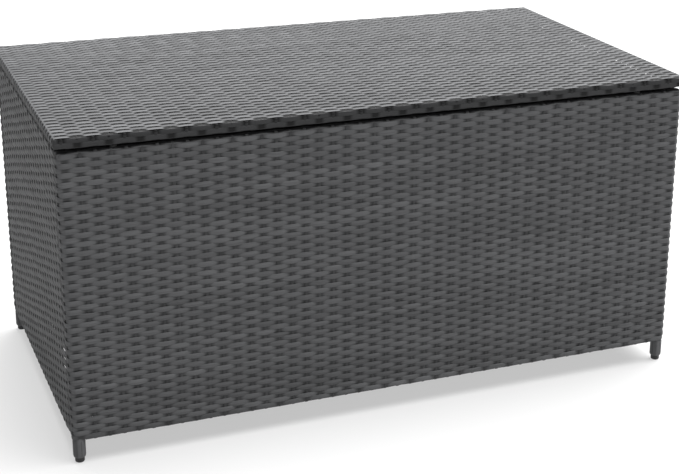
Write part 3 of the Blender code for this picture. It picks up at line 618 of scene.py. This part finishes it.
weave = strip_material("polyethylene_strip", (0.097, 0.098, 0.101), (0.52, 0.70))

hinge_places = [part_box(f"hinge_{side}_body_leaf") for side in ("left", "right")]
HINGE_MARGIN = 0.0025
recesses = [(low.x - HINGE_MARGIN, high.x + HINGE_MARGIN) for low, high in hinge_places]

LONG_STAKES, SIDE_STAKES = 46, 23
LONG_END_BEND, SIDE_END_BEND = 0.0085, 0.0035
EDGE_BEND = 0.0045          # radius of the bends at a panel's bottom and top
BACK_EDGE_BEND = 0.0030
RECESS_DROP = 0.0045        # the back weave stops this far below a hinge's body leaf
BACK_RECESS_DEPTH = 0.006   # and goes on behind the leaf, deeper than this
LID_RECESS = (0.0075, 0.0025)   # where a lid leaf cuts the weave: in from the back, below the top
# The side panels get deeper painted shade, also on their crests.
SIDE_STYLE = Style(width=1.10, stake=(0.0125, 0.0020), swing=SIDE_SWING, lowest=1.0, crest=0.30)
# The lid gets the deepest painted shade under its rows, longer along them, and on its front edge.
LID_STYLE = Style(
    row=LID_ROW, width=1.12, swing=LID_SWING, rim_swing=(1.0, 0.6), twist=0.02,
    lean=(0.06, 0.03, 0.02, -0.07), lowest=1.0, crest=0.0, dash=2.6, edge_painted_shade=0.64,
    stake_dark=(-0.4, 0.2),
)


def side_panel(side):
    """The left panel for -1, and the right one for 1."""
    half = (side_high.y - side_low.y) / 2
    matrix = panel_matrix((-side * side_low.x, (side_low.y + side_high.y) / 2, 0), (0, side, 0), (side, 0, 0))
    top = side_high.z - half * math.tan(SLOPE)
    return Panel(matrix, half, PANEL_BOTTOM, top, PANEL_DEPTH, SIDE_STAKES, (SIDE_END_BEND, EDGE_BEND),
                 SIDE_STYLE, tilt=side * math.tan(SLOPE))


front_panel = Panel(
    panel_matrix((0, front_low.y, 0), (1, 0, 0), (0, -1, 0)), HALF_WIDTH, PANEL_BOTTOM, front_high.z,
    PANEL_DEPTH, LONG_STAKES, (LONG_END_BEND, EDGE_BEND),
)
back_panel = Panel(
    panel_matrix((0, back_high.y, 0), (-1, 0, 0), (0, 1, 0)), HALF_WIDTH, PANEL_BOTTOM, back_high.z,
    PANEL_DEPTH, LONG_STAKES, (LONG_END_BEND, BACK_EDGE_BEND), recesses=recesses,
    in_recess=lambda h, d: h > hinge_places[0][0].z - RECESS_DROP and d > -BACK_RECESS_DEPTH,
)
left_panel, right_panel = side_panel(-1), side_panel(1)

# The lid's box in its own frame on the hinge axis
lid_points = np.array([lid_frame.inverted() @ v.co for v in frame["nodes"]["lid_weave"].data.vertices])
lid_low, lid_high = lid_points.min(0), lid_points.max(0)
lid_panel = Panel(
    lid_frame @ Matrix.Translation((0, 0, lid_high[2])), lid_high[0], lid_low[1], lid_high[1],
    lid_high[2] - lid_low[2], LONG_STAKES, (EDGE_BEND, EDGE_BEND), LID_STYLE,
    end_run=0.019, inner_run=0.018, short_low=False, recesses=recesses,
    in_recess=lambda h, d: h > lid_high[1] - LID_RECESS[0] and d < -LID_RECESS[1],
)

body_panels = {"front": front_panel, "back": back_panel, "left": left_panel, "right": right_panel}
for side_name, panel in body_panels.items():
    panel.build(f"{side_name}_weave", "box_body", weave)
lid_panel.build("lid_weave", "lid", weave)


# Legs

LEG_STRIPS = 9
LEG_STRIP_WIDTH = 0.0071
LEG_RADIUS = 0.0104
LEG_LINE = (                # height and radius: drawn in over the rim of the glide, and under the panel
    (LEG_BOTTOM, 0.0092), (LEG_BOTTOM + 0.0012, 0.0100), (LEG_BOTTOM + 0.003, LEG_RADIUS), (0.02, LEG_RADIUS),
    (0.03, LEG_RADIUS), (0.038, LEG_RADIUS), (0.0405, LEG_RADIUS), (0.043, 0.0094), (0.047, 0.0091),
)


def leg_strips(x, y):
    """Upright strips side by side round a leg."""
    strips = StripMesh()
    heights, radii = np.array(LEG_LINE).T
    for number in range(LEG_STRIPS):
        angle = 2 * math.pi * (number + 0.5) / LEG_STRIPS
        out = np.array([math.cos(angle), math.sin(angle), 0.0])
        line = np.array([(x, y, z) for z in heights]) + out * radii[:, None]
        strips.add(line, np.broadcast_to(out, line.shape), LEG_STRIP_WIDTH, STRIP_THICKNESS)
    return strips


for row, low, high in (("front", front_low, front_high), ("back", back_low, back_high)):
    for column, side in (("left", -1), ("right", 1)):
        glide_low, glide_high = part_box(f"foot_glide_{row}_{column}")
        centre = (glide_low + glide_high) / 2
        leg = leg_strips(centre.x, centre.y).make(f"leg_wrap_{row}_{column}", Matrix.Identity(4), weave)
        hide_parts(f"{row}_weave")
        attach(leg, "box_body")


# Wraps round the lid's stiffeners

STIFFENER_TUBE = 0.015
STIFFENER_MIDDLES = (-0.425, -0.200)
STIFFENER_ABOVE = 0.0025    # their lower faces above the weave's
STIFFENER_END = 0.021       # wraps from here on, from the side of the lid
WRAP_OUT = 0.0008           # middle of a wrap outside the tube's face
WRAP_BEND = 0.0022
WRAP_END = 0.0030           # a wrap goes up to this far below the lid's upper face
WRAP_WIDTH = PANEL_ROW * 1.01
# painted shade on each wrap, drawn at random between these
WRAP_PAINTED_SHADE = (0.2, 0.5)


def stiffener_wraps(middle):
    """Strips side by side round the lower three faces of a stiffener."""
    strips = StripMesh()
    half, under = STIFFENER_TUBE / 2 + WRAP_OUT, lid_low[2] + STIFFENER_ABOVE - WRAP_OUT
    end = lid_high[2] - WRAP_END
    path = BentLine([(half, end), (half, under), (-half, under), (-half, end)], (WRAP_BEND, WRAP_BEND))
    point, normal = path.points, path.normals
    reach = lid_high[0] - STIFFENER_END
    count = round(2 * reach / PANEL_ROW)
    for number in range(count):
        x = (number + 0.5 - count / 2) * 2 * reach / count
        line = np.stack([np.full(len(point), x), middle + point[:, 0], point[:, 1]], axis=-1)
        normals = np.stack([np.zeros(len(point)), normal[:, 0], normal[:, 1]], axis=-1)
        strips.add(line, normals, WRAP_WIDTH, STRIP_THICKNESS, rng.uniform(*WRAP_PAINTED_SHADE))
    return strips


for side_name, middle in zip(("front", "back"), STIFFENER_MIDDLES):
    wraps = stiffener_wraps(middle).make(f"lid_stiffener_wraps_{side_name}", lid_frame, weave)
    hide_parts("lid_weave")
    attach(wraps, "lid")


# Liner

CLOTH = 0.0010
BAG_CORNER = 0.034          # radius of the bag's upright corners
BAG_FLOOR_BEND = 0.012
BAG_STEP = 0.009            # between two points round the rim
WALL_RINGS, BEND_RINGS, FLOOR_RINGS = 44, 5, 30
RIM_SAG, RIM_SLACK = 0.0045, 0.0018     # how far the rim hangs down and in between the tabs
FREE_FROM = 0.12            # and the distance from a tab where it hangs freely
FOLDS, PATCHES = 9, 4       # waves round the bag that make the folds, and where they are strong
ROLL_DEPTH, FOLD_DEPTH, MOST_INWARD = 0.0045, 0.0030, 0.018
FOLD_SHARE = ((0.0, 0.2), (0.08, 0.6), (0.35, 1.0), (0.8, 0.7), (1.0, 0.35))    # way down, strength
FLOOR_RIPPLE, SLAT_RIPPLE = 0.0011, 0.0009
FLOOR_SHRINK = 0.965        # the floor's rings close in by this share of its depth, to its middle
SLATS, SLAT_WIDTH = 10, 0.015
base_low, base_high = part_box("base_frame")
SLAT_PITCH = (base_high.x - base_low.x - SLAT_WIDTH) / SLATS
HEM_HEIGHT = 0.028
TAB_WIDTH = 0.025
bag_low, bag_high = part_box("liner_bag")
TAB_PLACES = [(x, y) for y in (bag_low.y, bag_high.y) for x in (-0.46, -0.23, 0.0, 0.23, 0.46)]
TAB_PLACES += [(x, y) for x in (bag_low.x, bag_high.x) for y in (-0.21, -0.07, 0.07)]


class Bag:
    """The hung liner. q is the distance round its rim, and its cloth lies inside the CAD's bag."""

    def __init__(self, low, high):
        self.middle = np.array([(low.x + high.x) / 2, (low.y + high.y) / 2])
        self.half = np.array([(high.x - low.x) / 2, (high.y - low.y) / 2]) - CLOTH
        self.low, self.high = low.z + CLOTH, high.z - CLOTH
        straight_x, straight_y = 2 * (self.half - BAG_CORNER)
        arc = math.pi / 2 * BAG_CORNER
        self.runs = np.cumsum([0, straight_x, arc, straight_y, arc, straight_x, arc, straight_y, arc])
        self.length = self.runs[-1]
        self.folds = [
            (rng.integers(12, 70), rng.uniform(*ANY_PHASE), rng.uniform(-9, 9), rng.uniform(0.5, 1.0))
            for _ in range(FOLDS)
        ]
        self.patches = [
            (rng.integers(2, 9), rng.uniform(*ANY_PHASE), rng.uniform(-4, 4)) for _ in range(PATCHES)
        ]
        self.tabs = np.array([self.distance_of(*place) for place in TAB_PLACES])

    def rim(self, q):
        """(points, outward normals) of the plain rim, counter-clockwise from the front left."""
        q = np.mod(q, self.length)
        run = np.clip(np.searchsorted(self.runs, q, side="right") - 1, 0, 7)
        into = q - self.runs[run]
        side = run // 2
        turn = math.pi / 2 * side + np.where(run % 2 == 1, into / BAG_CORNER, 0.0)
        normal = np.stack([np.sin(turn), -np.cos(turn)], axis=-1)
        ahead = np.stack([np.cos(turn), np.sin(turn)], axis=-1)
        inner = self.half - BAG_CORNER
        corners = np.array([(-1, -1), (1, -1), (1, 1), (-1, 1)]) * inner
        centre = np.where((run % 2 == 1)[:, None], corners[(side + 1) % 4], corners[side])
        along = np.where((run % 2 == 0)[:, None], ahead * into[:, None], 0.0)
        return self.middle + centre + along + BAG_CORNER * normal, normal

    def distance_of(self, x, y):
        """The rim's place nearest to a point."""
        tried = np.linspace(0, self.length, 4000)
        points, _ = self.rim(tried)
        return tried[np.argmin(np.hypot(points[:, 0] - x, points[:, 1] - y))]

    def slack(self, q):
        """0 at the tabs that hold the rim, and up to 1 halfway between them."""
        half = self.length / 2
        gap = np.abs((q[:, None] - self.tabs[None, :] + half) % self.length - half).min(axis=1)
        return smooth_step(gap, TAB_WIDTH / 2, FREE_FROM)

    def top(self, q):
        return self.high - RIM_SAG * self.slack(q)

    def inward(self, q, height):
        """How far the wall hangs in from the plain one."""
        share = (self.high - height) / (self.high - self.low)
        turn = 2 * math.pi * q / self.length
        waves = [size * np.sin(n * turn + start + lean * height) for n, start, lean, size in self.folds]
        patches = [np.sin(n * turn + start + lean * height * 3) for n, start, lean in self.patches]
        wave, patch = sum(waves) / 2.4, sum(patches) / 2.2
        strength = np.interp(share, *zip(*FOLD_SHARE))
        rolling = ROLL_DEPTH * np.sin(math.pi * np.clip(share, 0, 1)) * (1 + 0.4 * patch)
        folds = FOLD_DEPTH * strength * np.clip(1 + 0.7 * patch, 0.15, 2) * (0.9 + wave)
        return np.clip(rolling + folds + RIM_SLACK * self.slack(q), 0.0, MOST_INWARD)

    def wall(self, q, height, out=0.0):
        points, normal = self.rim(q)
        shifted = points + normal * (out - self.inward(q, height))[:, None]
        return np.column_stack([shifted, height])

    def on_hem(self, q, down, out):
        """Points on the hem, below the rim and out of the cloth. It follows the wall's folds less."""
        middle, level = self.wall(q, self.top(q) - HEM_HEIGHT / 2), self.wall(q, self.top(q) - down)
        _, normal = self.rim(q)
        flat = (middle[:, :2] + level[:, :2]) / 2 + normal * np.broadcast_to(out, len(q))[:, None]
        return np.column_stack([flat, self.top(q) - down])

    def levels(self):
        """Rings from the rim down the walls, round the bend and over the floor."""
        count = round(self.length / BAG_STEP)
        q = np.arange(count) * self.length / count
        bend_top = self.low + BAG_FLOOR_BEND
        rings = []
        for share in np.linspace(0, 1, WALL_RINGS):
            top = self.top(q)
            rings.append(self.wall(q, top + (bend_top - top) * share))
        for step in range(1, BEND_RINGS + 1):
            angle = math.pi / 2 * step / BEND_RINGS
            height = bend_top - BAG_FLOOR_BEND * math.sin(angle)
            rings.append(self.wall(q, np.full(len(q), height), -BAG_FLOOR_BEND * (1 - math.cos(angle))))
        edge = rings[-1]
        for share in np.linspace(0, 1, FLOOR_RINGS)[1:]:
            inner = edge.copy()
            inner[:, 1] = self.middle[1] + (edge[:, 1] - self.middle[1]) * (1 - FLOOR_SHRINK * share)
            reach = self.half[0] - 0.5 * share * self.half[1]
            inner[:, 0] = self.middle[0] + (edge[:, 0] - self.middle[0]) * reach / self.half[0]
            x, y = inner[:, 0], inner[:, 1]
            ripple = np.sin(21 * x + 9 * y + 1) + np.sin(34 * y - 13 * x) + np.sin(55 * x + 17 * y + 2)
            slats = np.cos(2 * math.pi * x / SLAT_PITCH)
            rise = FLOOR_RIPPLE * (1.6 + 0.5 * ripple) + SLAT_RIPPLE * (slats + 1)
            inner[:, 2] = edge[:, 2] + rise * smooth_step(share, 0, 0.2)
            rings.append(inner)
        return np.array(rings)


def mesh_piece(name, points, faces, material, sharp=True):
    mesh = bpy.data.meshes.new(name)
    mesh.from_pydata([tuple(p) for p in points], [], faces)
    mesh.materials.append(material)
    mesh.shade_smooth()
    if sharp:
        mesh.set_sharp_from_angle(angle=SHARP_ANGLE)
    piece = bpy.data.objects.new(name, mesh)
    bpy.context.scene.collection.objects.link(piece)
    return piece


def on_body(piece, replaced=None):
    if replaced:
        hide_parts(replaced)
    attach(piece, "box_body")


def bag_piece(bag, material):
    """The bag as one sheet, thickened about its middle."""
    rings = bag.levels()
    count, around = rings.shape[:2]
    index = np.arange(count * around).reshape(count, around)
    after = np.roll(index, -1, axis=1)
    quads = np.stack([index[:-1], after[:-1], after[1:], index[1:]], axis=-1).reshape(-1, 4)
    last = [int(i) for i in index[-1]]
    half = around // 2
    closing = [(last[i], last[i + 1], last[-i - 2], last[-i - 1]) for i in range(half - 1)]
    faces = quads.tolist() + closing
    piece = mesh_piece("liner_bag_cloth", rings.reshape(-1, 3), faces, material, sharp=False)
    thick = piece.modifiers.new("cloth", "SOLIDIFY")
    thick.thickness, thick.offset = CLOTH, 0.0
    return piece


HEM_STEP = 0.006
HEM_LIFT = 0.0006           # the hem goes this far over the rim
HEM_OUT = 0.0014            # its faces from the middle of the cloth
HEM_SIDE = (                # out from the cloth, and down from the rim
    (0.0006, 0.0), (HEM_OUT, 0.0012), (HEM_OUT, HEM_HEIGHT - 0.001), (0.0008, HEM_HEIGHT),
)


def hem_piece(bag, material):
    """The folded hem: a thicker band round the rim."""
    around = round(bag.length / HEM_STEP)
    q = np.arange(around) * bag.length / around
    rings = []
    for out, down in [(-out, down) for out, down in HEM_SIDE] + list(reversed(HEM_SIDE)):
        points = bag.on_hem(q, down, out)
        points[:, 2] += HEM_LIFT
        rings.append(points)
    index = np.arange(len(rings) * around).reshape(len(rings), around)
    quads = []
    for first, second in zip(index, np.roll(index, -1, axis=0)):
        quads += np.stack([first, second, np.roll(second, -1), np.roll(first, -1)], axis=-1).tolist()
    return mesh_piece("liner_hem", np.concatenate(rings), quads, material)


STITCH_PITCH = 0.0045
STITCH_ALONG = np.array([0.0, 0.0015, 0.0030])
STITCH_RISE = np.array([0.0, 0.0005, 0.0])
STITCH = (0.0007, 0.0005)   # width and thickness of the thread
STITCH_INSET = 0.0035       # from the hem's edges


def stitch_piece(bag, material):
    """Two lines of stitches that hold the hem, on the side that shows."""
    strips = StripMesh()
    for down in (STITCH_INSET, HEM_HEIGHT - STITCH_INSET):
        for number in range(int(bag.length / STITCH_PITCH)):
            q = STITCH_PITCH * number + STITCH_ALONG
            _, normal = bag.rim(q)
            line = bag.on_hem(q, down, -HEM_OUT - STITCH_RISE)
            strips.add(line, np.column_stack([-normal, np.zeros(len(q))]), *STITCH)
    return strips.make("liner_stitches", Matrix.Identity(4), material)


TAB_BELOW = 0.0235          # a tab starts this far below the rim
TAB_THICKNESS = 0.0013
TAB_LINE = (                # up from there, and out from the bag: over the hem and onto the rail
    (0.0, 0.0018), (0.006, 0.0020), (0.020, 0.0020), (0.0235, 0.0029), (0.0275, 0.0035), (0.034, 0.0036),
)
SNAP_BELOW = 0.0065         # the snap's middle below the tab's upper end
SNAP_LIFT = 0.0006          # its foot in from the middle of the tab
SNAP_LINE = (               # radius and height of its rings
    (0.0060, 0.0), (0.0060, 0.0005), (0.0050, 0.0009), (0.0047, 0.0015), (0.0034, 0.0020), (0.0016, 0.0023),
)
SNAP_SIDES = 20


def tab_piece(bag, material):
    """Webbing tabs from the hem up the inner side of the top rails, and where their snaps sit."""
    strips, snap_places = StripMesh(), []
    rise, out = np.array(TAB_LINE).T
    for q in bag.tabs:
        (place,), (normal,) = bag.rim(np.array([q]))
        way = np.array([*normal, 0.0])
        line = np.column_stack([place + normal * out[:, None], bag.high - TAB_BELOW + rise])
        strips.add(line, np.broadcast_to(way, line.shape), TAB_WIDTH, TAB_THICKNESS)
        snap_places.append((line[-1] - [0, 0, SNAP_BELOW] - SNAP_LIFT * way, -way))
    return strips.make("liner_tabs", Matrix.Identity(4), material), snap_places


def snap_piece(places, material):
    """Round snaps, each at a middle and facing a way."""
    points, faces = [], []
    for middle, way in places:
        first = len(points)
        side = np.array([-way[1], way[0], 0.0])
        for radius, height in SNAP_LINE:
            for step in range(SNAP_SIDES):
                angle = 2 * math.pi * step / SNAP_SIDES
                sideways = radius * (math.cos(angle) * side + math.sin(angle) * np.array([0, 0, 1.0]))
                points.append(middle + sideways + height * way)
        for ring in range(len(SNAP_LINE) - 1):
            for step in range(SNAP_SIDES):
                a = first + ring * SNAP_SIDES + step
                b = first + ring * SNAP_SIDES + (step + 1) % SNAP_SIDES
                faces.append((a, b, b + SNAP_SIDES, a + SNAP_SIDES))
        faces.append(tuple(first + step for step in reversed(range(SNAP_SIDES))))
        faces.append(tuple(first + (len(SNAP_LINE) - 1) * SNAP_SIDES + step for step in range(SNAP_SIDES)))
    return mesh_piece("liner_snaps", points, faces, material)


liner_cloth = cloth_material("coated_polyester", (0.060, 0.062, 0.066))
liner_webbing = cloth_material("webbing", (0.030, 0.031, 0.034), 0.0018)
thread = grainy_material("thread", (0.10, 0.10, 0.105), 0.0, (0.6, 0.8), 2500.0, 0.00003)
zinc = ground_metal("zinc_plate", (0.40, 0.41, 0.42), (0.34, 0.48), (900.0, 900.0, 60.0))
liner = Bag(bag_low, bag_high)
cloth_bag = bag_piece(liner, liner_cloth)
hem = hem_piece(liner, liner_cloth)
stitches = stitch_piece(liner, thread)
tabs, snap_places = tab_piece(liner, liner_webbing)
snaps = snap_piece(snap_places, zinc)
on_body(cloth_bag, "liner_bag")
on_body(hem, "liner_bag")
on_body(stitches)
on_body(tabs)
on_body(snaps)


# CAD nodes that stay


steel = grainy_material("powder_coated_steel", (0.024, 0.025, 0.027), 0.2, (0.40, 0.55), 1400.0, 0.00003)
glide = grainy_material("glide_plastic", (0.012, 0.012, 0.013), 0.0, (0.45, 0.6), 900.0, 0.00004)
rubber = grainy_material("rubber", (0.014, 0.014, 0.014), 0.0, (0.75, 0.9), 700.0, 0.00005)
paint = grainy_material("black_paint", (0.016, 0.016, 0.018), 0.2, (0.22, 0.34), 500.0, 0.00001)
blackened = grainy_material("blackened_zinc", (0.045, 0.046, 0.050), 0.6, (0.40, 0.55), 800.0, 0.00002)
chrome = ground_metal("ground_chrome", (0.74, 0.75, 0.77), (0.08, 0.16), (1500.0, 40.0, 1500.0), 0.000006)

FINISHES = (                # the first mark that is in a node's name gives its material
    ("_panel_frame", steel), ("lid_frame", steel), ("base_frame", steel), ("foot_glide", glide),
    ("bolt", blackened), ("hinge", zinc), ("lid_bumper", rubber), ("_bracket", steel), ("_cylinder", paint),
    ("_rod", chrome), ("_pin", zinc),
)
for name, part in frame["nodes"].items():
    for mark, finish in FINISHES:
        if mark in name:
            part.data.materials.clear()
            part.data.materials.append(finish)
            break


# Stage, light and camera

FLOOR_TONE = 0.24
FLOOR_GLOW = 0.52           # the floor gives off light of its own, so it shows nearly white
FLOOR_SIZE = 60
WORLD_LIGHT = 0.25          # the world lights the box softly, and shows as white to the camera
OVERHEAD_FROM = (0.40, 0.14, 1.0)
OVERHEAD_STRENGTH, OVERHEAD_ANGLE = 9.5, 70
CAMERA_PLACE = (-0.963, -2.522, 1.203)
CAMERA_YAW = math.radians(21.30)
CAMERA_PITCH = math.radians(17.55)
CAMERA_LENS, CAMERA_SENSOR = 74.9, 36.0
CAMERA_SHIFT = -0.08
WHITE = (1, 1, 1, 1)


def stage_floor():
    material, tree, shader = new_material("pale_floor")
    place = object_place(tree)
    wide = noise(tree, place, 0.7, 2.0)
    coat(tree, shader, (FLOOR_TONE,) * 3, mapped(tree, wide, 0.99, 1.01), wide, (0.75, 0.85))
    shader.inputs["Emission Color"].default_value = WHITE
    shader.inputs["Emission Strength"].default_value = FLOOR_GLOW
    bpy.ops.mesh.primitive_plane_add(size=FLOOR_SIZE, location=(0, 0, 0))
    floor = bpy.context.object
    floor.name = "floor"
    floor.data.materials.append(material)


def soft_sun(name, comes_from, strength, angle):
    """A wide, even light, like a large softbox."""
    data = bpy.data.lights.new(name, "SUN")
    data.energy, data.angle = strength, math.radians(angle)
    lamp = bpy.data.objects.new(name, data)
    lamp.rotation_euler = (-Vector(comes_from)).to_track_quat("-Z", "Y").to_euler()
    bpy.context.scene.collection.objects.link(lamp)


def studio_world():
    world = bpy.data.worlds.new("studio")
    world.use_nodes = True
    background = world.node_tree.nodes["Background"]
    background.inputs["Color"].default_value = WHITE
    seen = node(world.node_tree, "ShaderNodeLightPath").outputs["Is Camera Ray"]
    strength = mapped(world.node_tree, seen, WORLD_LIGHT, 1.0, 0.0, 1.0)
    world.node_tree.links.new(strength, background.inputs["Strength"])
    bpy.context.scene.world = world


def place_camera():
    data = bpy.data.cameras.new("camera")
    data.lens, data.sensor_width, data.shift_y = CAMERA_LENS, CAMERA_SENSOR, CAMERA_SHIFT
    camera = bpy.data.objects.new("camera", data)
    camera.location = CAMERA_PLACE
    camera.rotation_euler = (math.pi / 2 - CAMERA_PITCH, 0, -CAMERA_YAW)
    bpy.context.scene.collection.objects.link(camera)
    bpy.context.scene.camera = camera


stage_floor()
studio_world()
soft_sun("overhead", OVERHEAD_FROM, OVERHEAD_STRENGTH, OVERHEAD_ANGLE)
bpy.context.scene.view_settings.view_transform = "Standard"
place_camera()
